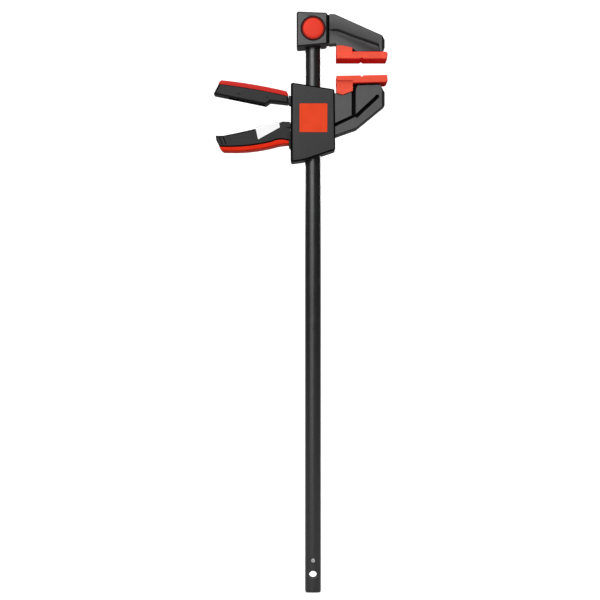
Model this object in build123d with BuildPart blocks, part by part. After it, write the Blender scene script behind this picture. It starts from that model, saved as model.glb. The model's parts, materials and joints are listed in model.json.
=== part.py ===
"""Quick release bar clamp: a fixed jaw locked to the top of a hollow rail, and a jaw
that slides up it, pumped by a hand lever and held by a tilted brake plate.

Millimetres. +Z runs up the rail towards the fixed jaw, +X from the rail to the jaws,
and the front of the clamp faces -Y. The origin is the centre of the hole in the
rail's lower end. Jaw outlines are measured from the clamping face of their own pad.
"""
from build123d import *
from math import cos, pi, radians, sin, tan
import os

os.makedirs("parts", exist_ok=True)

# ---- driving dimensions -------------------------------------------------------

# rail: a rolled hollow section with crowned front and back
rail_width = 22.0
rail_depth = 12.0
rail_crown = 2.0            # how far the middle of a broad side stands out
rail_wall = 2.2
rail_corner = 1.5
rail_end_reach = 24.5       # from the end hole to the end of the rail
rail_end_corner = 2.5
end_hole_diameter = 10.6
stop_pin_height = 19.9
stop_pin_diameter = 5.0
stop_pin_bore = 2.4
stop_pin_proud = 1.6

# heights of the two jaws
face_height = 706.4         # fixed clamping face above the end hole
jaw_gap = 22.8              # between the two clamping faces at rest
rail_top_rise = 60.0        # rail above the fixed clamping face

# jaws
head_depth = 36.0
head_left = -22.6
head_right = 19.4
head_corner = 3.0
edge_bevel = 2.0            # around the head and the housing covers
arm_depth = 28.0
arm_tip = 98.1
arm_foot_start = 61.0
arm_foot_end = 90.5
panel_recess = 3.2
arm_bevel = 1.2
tip_bevel = 4.2             # along the arm, down both sides of its end
tip_bevel_side = 2.6
neck_right = 23.4           # the arm begins here, past the groove beside the head
neck_depth = 20.0

# pads
pad_depth = 36.4
pad_plate = 10.4
pad_left = 31.8
pad_tip = 101.9
pad_tip_slope = 0.8
pad_heel = 53.6             # end of the deep block at the throat
pad_heel_back = 2.0         # the block's sides lie this far behind the plate's
heel_gap = 0.7              # between the block and the arm over it
toe_in = 1.4                # the sliding pad's outer end stands higher than its inner end
pad_heel_step = 6.4         # from the clamping face to the block's lower edge
pad_groove_at = 66.6
pad_groove_width = 4.6
pad_groove_deep = 2.2
pad_tongue_depth = 16.0
pad_tongue_high = 5.4
pad_tongue_inset = 4.0

# lock button in the head
button_height = 42.0        # above the fixed clamping face
button_diameter = 30.8
button_proud = 1.5
button_plate = 3.2
button_rim = 1.5            # chamfered ring around the button
button_leg_thick = 2.6
button_leg_width = 11.0
lock_pin_diameter = 10.0
lock_hole_diameter = 10.6
lock_pin_engage = 2.4
lock_bridge_thick = 2.5
lock_bridge_width = 17.0
lock_bridge_at = 8.5        # front face of the bridge behind the rail's middle
lock_spring_diameter = 13.0
lock_spring_wire = 1.1
head_cover_thick = 2.4
head_cover_width = 36.0
head_cover_height = 34.0

# housing of the sliding jaw
housing_depth = 36.0
cover_thick = 6.0
cover_corner = 3.0
cavity_right = 26.2
cavity_left = -26.0
cavity_roof_wall = 9.0
cavity_floor = -98.0
guide_length = 8.0
guide_width = 30.0
guide_depth = 18.0
upper_guide_top = -16.5
lower_guide_bottom = -103.6
badge_width = 38.0
badge_height = 39.3
badge_thick = 0.8
badge_centre = (0.4, -57.3)

# hand lever and drive
lever_pivot = (21.5, -36.0)
lever_travel = 17.0         # degrees
lever_pin_diameter = 5.0
lever_boss_radius = 4.2
fork_thick = 2.3            # side plates of the lever's fork
fork_play = 0.5             # between the fork and each cover
nose_arm = 8.0
nose_diameter = 3.6
nose_gap = 0.3
drive_plate_thick = 3.0
drive_plate_count = 2
drive_plate_left = -17.6
drive_plate_right = 17.2
drive_plate_play = 0.5      # between the drive plates and the fork
drive_spring_at = 14.2
drive_spring_diameter = 5.0
drive_spring_wire = 0.8
bulkhead_top = -56.5
bulkhead_thick = 3.5
sheath_wall = 2.0

# brake and release
brake_anchor = (24.0, -69.9)
brake_tilt = 4.0            # degrees, the left end up when the brake holds
brake_plate_thick = 4.0
brake_window_width = 22.5
brake_spring_at = -18.0
brake_spring_diameter = 7.4
brake_spring_wire = 1.0
tab_left = -45.0
tab_right = -32.4
tab_top = -61.2
tab_bottom = -72.4
tab_ribs = 3
tab_wall = 3.0              # in front of the brake plate's end
tab_round = 3.4
tab_side = 0.3              # plastic beside the brake plate's end

# fixed handle
tenon_top = -78.0
tenon_bottom = -95.0
tenon_right = -13.0
tenon_gap = 3.0             # between the tenon and each cover
root_right = -30.9          # the handle's root ends here, against the housing
grip_right = -33.4          # and its soft grip here
handle_bevel = 1.8
grip_line = 1.2             # bevel beside the soft grip
tab_play = 1.0
cheek_slit = -70.4
ridge_deep = 1.2
ridge_wide = 1.6
soft_grip_proud = 0.8

# screws
screw_diameter = 4.0
screw_recess = 0.4          # head below the back cover's face
screw_head = 7.2
screw_head_high = 2.4

coil_facets = 8             # straight stretches in one turn of a spring

# fits
slide_gap = 0.3             # between the rail and what slides on it
guide_gap = 0.2
running = 0.05              # radial, pins in bores
snug = 0.1                  # between pieces that are screwed or pushed together
free = 0.8

# ---- shared places ----------------------------------------------------------------

rail_length = rail_end_reach + face_height + rail_top_rise
slide_height = face_height - jaw_gap
fixed_plane = Plane(origin=(0, 0, face_height), x_dir=(1, 0, 0), z_dir=(0, -1, 0))
slide_plane = Plane(origin=(0, 0, slide_height), x_dir=(1, 0, 0), z_dir=(0, -1, 0))
head_half = head_depth / 2
arm_half = arm_depth / 2
housing_half = housing_depth / 2
core_half = housing_half - cover_thick
fork_outer = core_half - fork_play      # half thickness of the lever's fork
fork_inner = fork_outer - fork_thick
grip_half = fork_outer + sheath_wall    # half thickness of the lever's sheath and of the handle
tenon_half = core_half - tenon_gap
tongue_middle = (arm_foot_start + arm_foot_end) / 2
tongue_length = arm_foot_end - arm_foot_start - 2 * pad_tongue_inset
leg_inner = rail_width / 2 + slide_gap + 0.4
leg_outer = leg_inner + button_leg_thick
leg_places = [(side * (leg_inner + leg_outer) / 2, button_height) for side in (-1, 1)]
button_place = (0, button_height)
clip_thick = button_leg_thick - 1.0     # narrower ends of the legs, in the bridge's slots
clip_width = button_leg_width - 4.0
pocket_diameter = button_diameter + 2 * slide_gap


def outline(plane, points, radius=0.0):
    """A face on the plane with straight sides and corners of one radius."""
    with BuildSketch(plane) as shape:
        with BuildLine():
            Polyline(*points, close=True)
        make_face()
        if radius:
            fillet(shape.vertices(), radius)
    return shape.sketch


def rail_section(grow=0.0):
    """The rail's crowned section, grown all round by a clearance."""
    half_width = rail_width / 2 + grow
    half_middle = rail_depth / 2 + grow
    half_edge = half_middle - rail_crown
    with BuildSketch(Plane.XY) as shape:
        with BuildLine():
            ThreePointArc((-half_width, -half_edge), (0, -half_middle), (half_width, -half_edge))
            Line((half_width, -half_edge), (half_width, half_edge))
            ThreePointArc((half_width, half_edge), (0, half_middle), (-half_width, half_edge))
            Line((-half_width, half_edge), (-half_width, -half_edge))
        make_face()
        if rail_corner + grow > 0:
            fillet(shape.vertices(), rail_corner + grow)
    return shape.sketch


def rail_space(low, high, grow):
    """The space that the rail passes through, between two heights."""
    with BuildPart() as space:
        extrude(rail_section(grow).moved(Location((0, 0, low))), amount=high - low)
    return space.part


def rod(plane, centre, diameter, front, back):
    """A round bar or hole across the clamp, from the depth front to the depth back."""
    with BuildPart() as bar:
        with BuildSketch(plane.offset(-front)):
            with Locations(centre):
                Circle(diameter / 2)
        extrude(amount=front - back)
    return bar.part


def coil(base, length, diameter, wire, turns, direction=(0, 0, 1)):
    """A compression spring whose axis starts at base."""
    mean = (diameter - wire) / 2
    height = length - 1.4 * wire
    steps = turns * coil_facets
    bends = [
        (
            mean * cos(2 * pi * step / coil_facets),
            mean * sin(2 * pi * step / coil_facets),
            0.7 * wire + height * step / steps,
        )
        for step in range(steps + 1)
    ]
    with BuildPart() as spring:
        with BuildLine():
            path = Polyline(*bends)
        with BuildSketch(Plane(origin=path @ 0, z_dir=path % 0)):
            RegularPolygon(wire / 2, 4)
        sweep(path=path, transition=Transition.RIGHT)
    return spring.part.moved(Plane(origin=base, z_dir=direction).location)


def screw(plane, place, tip, seat, top):
    """A pan head screw along the depth, its head standing from seat to top."""
    with BuildPart() as body:
        add(rod(plane, place, screw_diameter, tip, seat))
        add(rod(plane, place, screw_head, seat, top))
    return body.part


def tip_wedges(low, high):
    """What is bevelled off both sides of an arm's end, between two heights."""
    with BuildPart() as wedges:
        for side in (-1, 1):
            with BuildSketch(Plane.XY.offset(low)):
                with BuildLine():
                    Polyline(
                        (arm_tip - tip_bevel, side * arm_half),
                        (arm_tip + tip_bevel, side * (arm_half - 2 * tip_bevel_side)),
                        (arm_tip + tip_bevel, side * (arm_half + 1)),
                        (arm_tip - tip_bevel, side * (arm_half + 1)),
                        close=True,
                    )
                make_face()
            extrude(amount=high - low)
    return wedges.part


def save(piece, name):
    piece.label = name
    export_step(piece, f"parts/{name}.step")


# ---- rail -------------------------------------------------------------------------

with BuildPart() as rail:
    add(rail_space(-rail_end_reach, rail_length - rail_end_reach, 0.0))
    add(rail_space(-rail_end_reach, rail_length - rail_end_reach, -rail_wall), mode=Mode.SUBTRACT)
    # rounded corners at both ends
    with BuildSketch(Plane.XZ):
        with Locations((0, rail_length / 2 - rail_end_reach)):
            RectangleRounded(rail_width, rail_length, rail_end_corner)
    extrude(amount=rail_depth, both=True, mode=Mode.INTERSECT)
    # end hole and lock hole
    with BuildSketch(Plane.XZ):
        Circle(end_hole_diameter / 2)
        with Locations((0, face_height + button_height)):
            Circle(lock_hole_diameter / 2)
        with Locations((0, stop_pin_height)):
            Circle(stop_pin_diameter / 2)
    extrude(amount=rail_depth, both=True, mode=Mode.SUBTRACT)
save(rail.part, "rail")

# rolled spring pin that stops the sliding jaw at the rail's end
stop_pin_half = rail_depth / 2 + stop_pin_proud
with BuildPart() as stop_pin:
    with BuildSketch(Plane.XZ.offset(-stop_pin_half)):
        with Locations((0, stop_pin_height)):
            Circle(stop_pin_diameter / 2 - 0.01)
            Circle(stop_pin_bore / 2, mode=Mode.SUBTRACT)
    extrude(amount=2 * stop_pin_half)
    # slit along the rolled pin
    with BuildSketch(Plane.XZ.offset(-stop_pin_half)):
        with Locations((0, stop_pin_height + stop_pin_diameter / 2)):
            Rectangle(0.7, stop_pin_diameter)
    extrude(amount=2 * stop_pin_half, mode=Mode.SUBTRACT)
save(stop_pin.part, "stop_pin")

# ---- fixed jaw ----------------------------------------------------------------------

heel_top = 18.9             # of the upper pad's deep block
head_points = [(head_left, 16.8), (head_right, 20.6), (head_right, 63.6), (head_left, 65.3)]
neck_points = [
    (head_right - 6, 22.4), (neck_right + 6, 23.2), (neck_right + 6, 61.6), (head_right - 6, 62.6),
]
arm_points = [
    (neck_right, 62.5), (30.0, 62.3), (94.4, 33.5), (arm_tip, 27.4), (arm_tip, 16.8),
    (92.9, pad_plate), (arm_foot_start, pad_plate), (pad_heel, 16.8), (40.5, heel_top + heel_gap),
    (pad_left, heel_top + heel_gap), (pad_left, 22.8), (neck_right, 22.2),
]
# everything under the arm's raised upper band
panel_points = [
    (neck_right - 3, 41.0), (31.0, 40.6), (38.4, 38.7), (53.6, 32.6), (89.7, 19.8),
    (92.0, pad_plate - 2), (neck_right - 3, pad_plate - 2),
]
socket_roof = face_height + rail_top_rise
lock_cavity_back = head_half - head_cover_thick
spring_seat = -(rail_depth / 2 + 1.6)
button_back = -(head_half + button_proud - button_plate)

with BuildPart() as fixed_jaw:
    extrude(outline(fixed_plane, head_points, head_corner), amount=head_half, both=True)
    for broad_face in (fixed_jaw.faces().sort_by(Axis.Y)[0], fixed_jaw.faces().sort_by(Axis.Y)[-1]):
        chamfer(broad_face.edges(), edge_bevel)
    extrude(outline(fixed_plane, neck_points), amount=neck_depth / 2, both=True)
    extrude(outline(fixed_plane, arm_points), amount=arm_half, both=True)
    # the arm's panel lies lower than its upper band, on both sides
    for side in (-1, 1):
        extrude(
            outline(fixed_plane.offset(side * (arm_half - panel_recess)), panel_points),
            amount=side * panel_recess,
            mode=Mode.SUBTRACT,
        )
    # bevels along the arm's top and down its end
    top_rims = (
        fixed_jaw.edges()
        .filter_by(lambda edge: abs(abs(edge.center().Y) - arm_half) < 0.01)
        .filter_by(lambda edge: edge.center().X > 40 and edge.center().Z > face_height + 45)
    )
    chamfer(top_rims, arm_bevel)
    add(tip_wedges(face_height, face_height + 45), mode=Mode.SUBTRACT)
    # tongue that the pad is pushed onto
    with BuildSketch(fixed_plane):
        with Locations((tongue_middle, pad_plate - pad_tongue_high / 2)):
            Rectangle(tongue_length, pad_tongue_high)
    extrude(amount=pad_tongue_depth / 2, both=True)
    # socket for the rail, open below
    add(rail_space(face_height - 60, socket_roof, snug), mode=Mode.SUBTRACT)
    # pocket for the button, with a chamfered mouth
    add(rod(fixed_plane, button_place, pocket_diameter, -head_half - 1, spring_seat), mode=Mode.SUBTRACT)
    mouth = (
        fixed_jaw.edges().filter_by(GeomType.CIRCLE)
        .filter_by(lambda edge: abs(edge.radius - pocket_diameter / 2) < 0.01)
        .sort_by(Axis.Y)[0]
    )
    chamfer(mouth, button_rim)
    # slots for the button's legs, beside the rail
    with BuildSketch(fixed_plane.offset(-lock_cavity_back)):
        with Locations(*leg_places):
            Rectangle(button_leg_thick + 2 * slide_gap, button_leg_width + 2 * slide_gap)
    extrude(amount=lock_cavity_back - spring_seat, mode=Mode.SUBTRACT)
    # room for the bridge behind the rail
    with BuildSketch(fixed_plane.offset(-(lock_bridge_at - slide_gap))):
        with Locations(button_place):
            Rectangle(2 * leg_outer + 2 * slide_gap, lock_bridge_width + 2 * slide_gap)
    extrude(amount=-(lock_cavity_back - lock_bridge_at + slide_gap), mode=Mode.SUBTRACT)
    # passage for the lock pin
    pin_passage = lock_pin_diameter + 2 * slide_gap
    add(rod(fixed_plane, button_place, pin_passage, 0, lock_bridge_at), mode=Mode.SUBTRACT)
    # recess for the back cover
    with BuildSketch(fixed_plane.offset(-lock_cavity_back)):
        with Locations(button_place):
            RectangleRounded(head_cover_width + 2 * snug, head_cover_height + 2 * snug, 3.0)
    extrude(amount=-(head_cover_thick + 1), mode=Mode.SUBTRACT)
save(fixed_jaw.part, "fixed_jaw")

# back cover of the head, pushed in over the lock
with BuildPart() as head_cover:
    with BuildSketch(fixed_plane.offset(-head_half)):
        with Locations(button_place):
            RectangleRounded(head_cover_width, head_cover_height, 3.0)
    extrude(amount=head_cover_thick)
save(head_cover.part, "head_cover")

# ---- pads ---------------------------------------------------------------------------

def jaw_pad(plane, heel_points, up, lean=0.0):
    """A pad: plate, heel block, grooved clamping face and the slot for the arm's tongue.

    The plate leans by this much over its length, around nought at the inner end.
    """
    groove_lean = lean * (pad_groove_at - pad_left) / (pad_tip - pad_left)
    with BuildPart() as body:
        plate_points = [
            (pad_left, 0), (pad_tip - pad_tip_slope, lean), (pad_tip, up * (pad_plate - 2) + lean),
            (pad_tip - 2.6, up * pad_plate + lean), (pad_left, up * pad_plate),
        ]
        extrude(outline(plane, plate_points), amount=pad_depth / 2, both=True)
        chamfer(body.faces().filter_by(Axis.Y).edges(), 0.9)
        extrude(outline(plane, heel_points), amount=pad_depth / 2 - pad_heel_back, both=True)
        heel_edge = max(x for x, height in heel_points)
        heel_cut = [
            (pad_left - 1, up * pad_heel_step), (heel_edge, up * pad_heel_step),
            (heel_edge, up * (pad_plate + 1)), (pad_left - 1, up * (pad_plate + 1)),
        ]
        for side in (-1, 1):
            extrude(
                outline(plane.offset(side * (pad_depth / 2 - pad_heel_back)), heel_cut),
                amount=side * (pad_heel_back + 1),
                mode=Mode.SUBTRACT,
            )
        # V groove that centres a round workpiece
        groove_points = [
            (pad_groove_at - pad_groove_width / 2, groove_lean - up * 0.1),
            (pad_groove_at, groove_lean + up * pad_groove_deep),
            (pad_groove_at + pad_groove_width / 2, groove_lean - up * 0.1),
        ]
        extrude(outline(plane, groove_points), amount=pad_depth, both=True, mode=Mode.SUBTRACT)
        # slot for the tongue, open to the arm
        with BuildSketch(plane):
            with Locations((tongue_middle, up * (pad_plate - pad_tongue_high / 2))):
                Rectangle(tongue_length + 2 * snug, pad_tongue_high + 2 * snug)
        extrude(amount=pad_tongue_depth / 2 + snug, both=True, mode=Mode.SUBTRACT)
    return body.part


fixed_heel = [
    (pad_left, pad_heel_step), (pad_heel, pad_heel_step), (pad_heel, 16.8 - heel_gap),
    (40.5, heel_top), (pad_left, heel_top),
]
save(jaw_pad(fixed_plane, fixed_heel, 1), "fixed_pad")

sliding_heel = [
    (pad_left + 0.4, -pad_heel_step), (pad_heel + 0.6, -pad_heel_step), (pad_heel + 0.6, -20.2),
    (40.6, -25.6), (pad_left + 0.4, -23.2),
]
save(jaw_pad(slide_plane, sliding_heel, -1, toe_in), "sliding_pad")

# ---- lock button ----------------------------------------------------------------------

with BuildPart() as lock_button:
    add(rod(fixed_plane, button_place, button_diameter, -head_half - button_proud, button_back))
    chamfer(lock_button.faces().sort_by(Axis.Y)[0].edges(), 0.9)
    # legs that pass the rail on both sides
    with BuildSketch(fixed_plane.offset(-button_back)):
        with Locations(*leg_places):
            Rectangle(button_leg_thick, button_leg_width)
    extrude(amount=-(lock_bridge_at - button_back))
    # narrower ends that the bridge is clipped onto
    with BuildSketch(fixed_plane.offset(-lock_bridge_at)):
        with Locations(*leg_places):
            Rectangle(clip_thick, clip_width)
    extrude(amount=-lock_bridge_thick)
save(lock_button.part, "lock_button")

with BuildPart() as lock_bridge:
    with BuildSketch(fixed_plane.offset(-lock_bridge_at)):
        with Locations(button_place):
            RectangleRounded(2 * leg_outer, lock_bridge_width, 2.0)
        with Locations(*leg_places):
            Rectangle(clip_thick + 2 * snug, clip_width + 2 * snug, mode=Mode.SUBTRACT)
    extrude(amount=-lock_bridge_thick)
save(lock_bridge.part, "lock_bridge")

# pin welded to the bridge, pointing forwards into the rail's back wall
lock_pin_tip = rail_depth / 2 - lock_pin_engage
with BuildPart() as lock_pin:
    add(rod(fixed_plane, button_place, lock_pin_diameter, lock_pin_tip, lock_bridge_at))
save(lock_pin.part, "lock_pin")

lock_spring_base = (0, spring_seat, face_height + button_height)
lock_spring = coil(
    lock_spring_base, spring_seat - button_back, lock_spring_diameter, lock_spring_wire, 3, (0, -1, 0)
)
save(lock_spring, "lock_spring")

# ---- housing of the sliding jaw -----------------------------------------------------------

cover_points = [(-30.5, -8.7), (29.2, -18.2), (30.4, -100.8), (-13.0, -115.4), (-30.8, -117.8)]
slope = (cover_points[1][1] - cover_points[0][1]) / (cover_points[1][0] - cover_points[0][0])
roof_drop = cavity_roof_wall / cos(radians(8))


def roof_at(x):
    """Height of the cavity's sloping roof."""
    return cover_points[0][1] + slope * (x - cover_points[0][0]) - roof_drop


cavity_points = [
    (cavity_left, roof_at(cavity_left)), (cavity_right, roof_at(cavity_right)),
    (cavity_right, cavity_floor), (cavity_left, cavity_floor),
]
foot_end = 90.4             # of the slanting foot under the leaning pad
foot_rise = toe_in * (arm_foot_start - pad_left) / (pad_tip - pad_left)
foot_end_rise = toe_in * (foot_end - pad_left) / (pad_tip - pad_left)
slide_arm_points = [
    (cavity_right, -21.4), (pad_left + 0.4, -23.2 - heel_gap), (40.6, -25.6 - heel_gap),
    (pad_heel + 0.6, -20.2 - heel_gap), (58.0, -19.6), (arm_foot_start, foot_rise - pad_plate),
    (foot_end, foot_end_rise - pad_plate), (arm_tip, -21.8), (arm_tip, -39.6), (59.5, -71.3),
    (cavity_right, -83.0),
]
# grooves that part the arm's two panels from its lower band, and one under the pad
upright_groove = [(52.6, -9.0), (62.2, -9.0), (58.4, -18.8), (58.4, -55.2), (52.6, -58.0)]
inner_groove = [(58.4, -50.6), (58.4, -55.4), (29.0, -69.6), (29.0, -64.4)]
outer_groove = [(58.4, -51.6), (87.6, -24.6), (90.5, -26.0), (90.5, -29.0), (60.0, -57.4), (58.4, -56.6)]
foot_groove = [(60.0, -8.0), (94.0, -8.0), (94.0, -11.6), (60.0, -12.7)]
groove_deep = 5.5

screw_places = [(-21.0, -15.2), (22.3, -21.8), (22.3, -100.0), (-21.0, -110.0), (-19.0, -87.5)]
pivot_seat = 3.0            # depth of the lever pin's blind seat in each cover
screw_hole = screw_diameter + 2 * snug
screw_grip = 3.4            # depth of the screws' thread in the front cover
screw_seat = housing_half - screw_head_high - screw_recess

with BuildPart() as slider_body:
    # frame between the two covers
    extrude(outline(slide_plane, cover_points, cover_corner), amount=core_half, both=True)
    extrude(outline(slide_plane, cavity_points), amount=housing_half, both=True, mode=Mode.SUBTRACT)
    # arm, cut back beside the covers
    extrude(outline(slide_plane, slide_arm_points), amount=arm_half, both=True)
    for side in (-1, 1):
        with BuildSketch(slide_plane.offset(-side * core_half)):
            with BuildLine():
                Polyline(*cover_points, close=True)
            make_face()
            offset(amount=slide_gap, kind=Kind.INTERSECTION)
        extrude(amount=-side * cover_thick, mode=Mode.SUBTRACT)
    # bevels along the arm's lower edge and down its end
    low_rims = (
        slider_body.edges()
        .filter_by(lambda edge: abs(abs(edge.center().Y) - arm_half) < 0.01)
        .filter_by(lambda edge: edge.center().X > 40 and edge.center().Z < slide_height - 45)
    )
    chamfer(low_rims, arm_bevel)
    add(tip_wedges(slide_height - 50, slide_height), mode=Mode.SUBTRACT)
    for side in (-1, 1):
        groove_plane = slide_plane.offset(side * (arm_half - groove_deep))
        for groove in (upright_groove, inner_groove, outer_groove, foot_groove):
            extrude(outline(groove_plane, groove), amount=side * groove_deep, mode=Mode.SUBTRACT)
    # tongue that the pad is pushed onto
    with BuildSketch(slide_plane):
        with Locations((tongue_middle, -pad_plate + pad_tongue_high / 2)):
            Rectangle(tongue_length, pad_tongue_high)
    extrude(amount=pad_tongue_depth / 2, both=True)
    # bulkhead under the drive springs, and the ledges that hold the brake plate's end
    with BuildSketch(slide_plane):
        with Locations(((cavity_left + cavity_right) / 2, bulkhead_top - bulkhead_thick / 2)):
            Rectangle(cavity_right - cavity_left, bulkhead_thick)
        ledge_top = bulkhead_top - bulkhead_thick
        ledge_bottom = brake_anchor[1] + brake_plate_thick / 2 + slide_gap
        with Locations((cavity_right - 2.5, (ledge_top + ledge_bottom) / 2)):
            Rectangle(5.0, ledge_top - ledge_bottom)
        with Locations((cavity_right - 2.5, brake_anchor[1] - brake_plate_thick / 2 - slide_gap - 2)):
            Rectangle(5.0, 4.0)
    extrude(amount=core_half, both=True)
    # openings in the left wall: lever, brake plate and handle tenon
    with BuildSketch(slide_plane):
        with Locations((cavity_left, (roof_at(cavity_left) + bulkhead_top) / 2)):
            Rectangle(12.0, roof_at(cavity_left) - bulkhead_top)
    extrude(amount=core_half, both=True, mode=Mode.SUBTRACT)
    with BuildSketch(slide_plane):
        with Locations((cavity_left, -68.5)):
            Rectangle(12.0, 12.0)
        with Locations((cavity_left, (tenon_top + tenon_bottom) / 2)):
            Rectangle(12.0, tenon_top - tenon_bottom + 2 * snug)
    extrude(amount=tenon_half + slide_gap, both=True, mode=Mode.SUBTRACT)
    # pockets for the guides, and the way through for the rail
    with BuildSketch(Plane.XY.offset(slide_height + upper_guide_top + snug)):
        Rectangle(guide_width + 2 * snug, guide_depth + 2 * snug)
    extrude(amount=-guide_length - 2, mode=Mode.SUBTRACT)
    with BuildSketch(Plane.XY.offset(slide_height + lower_guide_bottom - snug)):
        Rectangle(guide_width + 2 * snug, guide_depth + 2 * snug)
    extrude(amount=guide_length + 2, mode=Mode.SUBTRACT)
    add(rail_space(slide_height - 130, slide_height, free), mode=Mode.SUBTRACT)
    for place in screw_places:
        add(rod(slide_plane, place, screw_hole, -core_half - 1, core_half + 1), mode=Mode.SUBTRACT)
save(slider_body.part, "slider_body")

# steel guides that bear on the rail above and below the mechanism
for name, low in (("upper_guide", upper_guide_top - guide_length), ("lower_guide", lower_guide_bottom)):
    with BuildPart() as guide:
        with BuildSketch(Plane.XY.offset(slide_height + low)):
            RectangleRounded(guide_width, guide_depth, 1.0)
        extrude(amount=guide_length)
        bore_low = slide_height + low - 1
        add(rail_space(bore_low, bore_low + guide_length + 2, guide_gap), mode=Mode.SUBTRACT)
    save(guide.part, name)


def cover_blank(side):
    """A cover's plate on the front (-1) or back (1), with its outer edge bevelled."""
    with BuildPart() as body:
        extrude(
            outline(slide_plane.offset(-side * core_half), cover_points, cover_corner),
            amount=-side * cover_thick,
        )
        chamfer(body.faces().sort_by(Axis.Y)[-1 if side > 0 else 0].edges(), edge_bevel)
        # blind seat for the lever's pivot pin
        reach = sorted((side * core_half, side * (core_half + pivot_seat)))
        add(rod(slide_plane, lever_pivot, lever_pin_diameter + 2 * snug, *reach), mode=Mode.SUBTRACT)
    return body.part


with BuildPart() as front_cover:
    add(cover_blank(-1))
    with BuildSketch(slide_plane.offset(housing_half)):
        with Locations(badge_centre):
            RectangleRounded(badge_width + 2 * snug, badge_height + 2 * snug, 1.2)
    extrude(amount=-badge_thick, mode=Mode.SUBTRACT)
    for place in screw_places:
        thread_end = -core_half - screw_grip - 0.2
        add(rod(slide_plane, place, screw_hole, thread_end, -core_half), mode=Mode.SUBTRACT)
save(front_cover.part, "front_cover")

with BuildPart() as back_cover:
    add(cover_blank(1))
    for place in screw_places:
        add(rod(slide_plane, place, screw_hole, core_half, housing_half), mode=Mode.SUBTRACT)
        add(rod(slide_plane, place, screw_head + 4 * snug, screw_seat, housing_half), mode=Mode.SUBTRACT)
save(back_cover.part, "back_cover")

for number, place in enumerate(screw_places, 1):
    screw_tip = -core_half - screw_grip
    cover_screw = screw(slide_plane, place, screw_tip, screw_seat, screw_seat + screw_head_high)
    save(cover_screw, f"cover_screw_{number}")

with BuildPart() as badge:
    with BuildSketch(slide_plane.offset(housing_half - badge_thick)):
        with Locations(badge_centre):
            RectangleRounded(badge_width, badge_height, 1.2)
    extrude(amount=badge_thick - 0.1)
save(badge.part, "badge")

# ---- hand lever --------------------------------------------------------------------------

nose_angle = radians(lever_travel / 2)
nose_place = (lever_pivot[0] - nose_arm * cos(nose_angle), lever_pivot[1] + nose_arm * sin(nose_angle))
web_right = -27.42          # end of the web over the core's channel
sheath_round = 2.4
insert_half = grip_half - 0.3
sheath_right = -34.0
neck_left = -33.4           # shoulders of the core, outside the sheath

# side plates from the tip of the core to the pivot boss
core_points = [
    (-118.0, -15.6), (-76.0, -22.0), (neck_left, -29.1), (neck_left, -26.0), (-14.0, -29.6),
    (lever_pivot[0], lever_pivot[1] + lever_boss_radius),
    (lever_pivot[0], lever_pivot[1] - lever_boss_radius), (8.0, -40.2), (-14.0, -40.0),
    (neck_left, -37.2), (neck_left, -35.6), (-58.0, -32.4), (-70.0, -33.6), (-122.0, -22.6),
]
with BuildPart() as lever_core:
    extrude(outline(slide_plane, core_points), amount=fork_outer, both=True)
    add(rod(slide_plane, lever_pivot, 2 * lever_boss_radius, -fork_outer, fork_outer))
    # open channel under the top web, and a clear fork past the rail
    channel_points = [
        (-125.0, -16.8), (-76.0, -24.2), (sheath_right, -31.3), (web_right, -31.3), (web_right, -20.0),
        (cavity_right, -20.0), (cavity_right, -60.0), (-125.0, -60.0),
    ]
    extrude(outline(slide_plane, channel_points), amount=fork_inner, both=True, mode=Mode.SUBTRACT)
    add(
        rod(slide_plane, lever_pivot, lever_pin_diameter + 2 * running, -fork_outer, fork_outer),
        mode=Mode.SUBTRACT,
    )
    add(rod(slide_plane, nose_place, nose_diameter, -fork_outer, fork_outer), mode=Mode.SUBTRACT)
save(lever_core.part, "lever_core")

with BuildPart() as lever_pin:
    pin_half = core_half + pivot_seat - snug
    add(rod(slide_plane, lever_pivot, lever_pin_diameter, -pin_half, pin_half))
save(lever_pin.part, "lever_pin")

# cross pin that presses the drive plates down
with BuildPart() as drive_nose:
    add(rod(slide_plane, nose_place, nose_diameter - 0.02, -fork_outer, fork_outer))
save(drive_nose.part, "drive_nose")

# moulded sheath over the core, with a deep finger section and a slim neck
strip_arc = [(-129.6, -11.1), (-83.0, -17.9), (-37.6, -27.0)]       # under the soft strip
crest_arc = [(-125.4, -4.8), (-82.0, -10.6), (-36.6, -19.8)]        # top of the soft strip
sheath_end = (sheath_right, -27.4)
sheath_points = [
    strip_arc[2], sheath_end, (sheath_right, -36.7), (-58.7, -34.0), (-64.6, -38.4), (-136.2, -23.8),
    strip_arc[0],
]
with BuildPart() as lever_grip:
    with BuildSketch(slide_plane):
        with BuildLine():
            ThreePointArc(*strip_arc)
            Polyline(*sheath_points)
        make_face()
    extrude(amount=grip_half, both=True)
    side_edges = lever_grip.faces().filter_by(Axis.Y).edges()
    fillet(side_edges.filter_by(lambda edge: edge.center().Z < slide_height - 28), sheath_round)
    # room for the core
    core_room = [
        (-118.0 - snug, -15.6 + snug), (-76.0, -22.0 + snug), (neck_left, -29.1 + snug),
        (neck_left, -35.6 - snug), (-58.0, -32.4 - 2 * snug), (-70.0, -33.6 - 2 * snug),
        (-122.0 - 2 * snug, -22.6 - snug),
    ]
    extrude(outline(slide_plane, core_room), amount=fork_outer + snug, both=True, mode=Mode.SUBTRACT)
    # open finger channel underneath
    finger_channel = [(-116.0, -20.6), (-66.0, -30.6), (-66.0, -50.0), (-116.0, -50.0)]
    extrude(outline(slide_plane, finger_channel), amount=fork_inner, both=True, mode=Mode.SUBTRACT)
save(lever_grip.part, "lever_grip")

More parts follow.
